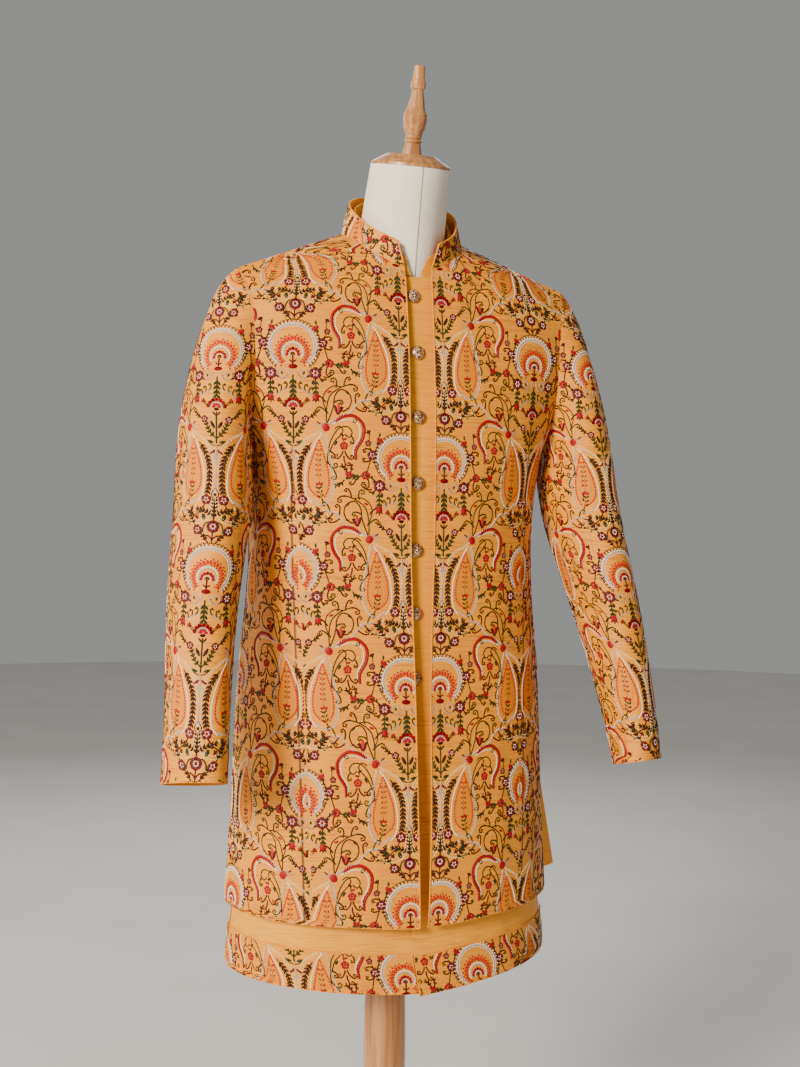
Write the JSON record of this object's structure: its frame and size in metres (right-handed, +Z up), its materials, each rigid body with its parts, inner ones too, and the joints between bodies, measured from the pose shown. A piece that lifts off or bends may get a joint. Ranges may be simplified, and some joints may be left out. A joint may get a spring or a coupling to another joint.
{
  "type": "layered sherwani coat on a dress form",
  "caption": "Open embroidered knee-length sherwani coat with a stand collar over a plain buttoned inner coat with a worked hem, on a limbless dress form with a wooden neck top and floor stand.",
  "frame": {"origin": "centre of the stand's round base where it meets the floor, under the post", "axes": "+Z up, the coat faces -Y, the wearer's left is +X"},
  "size_m": [0.6326, 0.3856, 1.6756],
  "materials": {
    "embroidered_silk": "matte slubbed silk covered with fine thread embroidery",
    "raw_silk": "soft slubbed silk",
    "button_metal": "antique worked metal",
    "form_cover": "matte knitted cover",
    "turned_wood": "clear varnish"
  },
  "bodies": {
    "root": {"coat_back": "embroidered_silk", "coat_collar": "embroidered_silk", "coat_front_left": "embroidered_silk", "coat_front_right": "embroidered_silk", "coat_sleeve_left_top": "embroidered_silk", "coat_sleeve_left_under": "embroidered_silk", "coat_sleeve_right_top": "embroidered_silk", "coat_sleeve_right_under": "embroidered_silk", "border_back": "embroidered_silk", "border_front_left": "embroidered_silk", "border_front_right": "embroidered_silk", "inner_back": "raw_silk", "inner_collar": "raw_silk", "inner_front_left": "raw_silk", "inner_front_right": "raw_silk", "button_1": "button_metal", "button_2": "button_metal", "button_3": "button_metal", "button_4": "button_metal", "button_5": "button_metal", "button_6": "button_metal", "button_7": "button_metal", "form_torso": "form_cover", "form_neck_cap": "turned_wood", "form_finial": "turned_wood", "form_post": "turned_wood", "form_base": "turned_wood"}
  },
  "joints": []
}
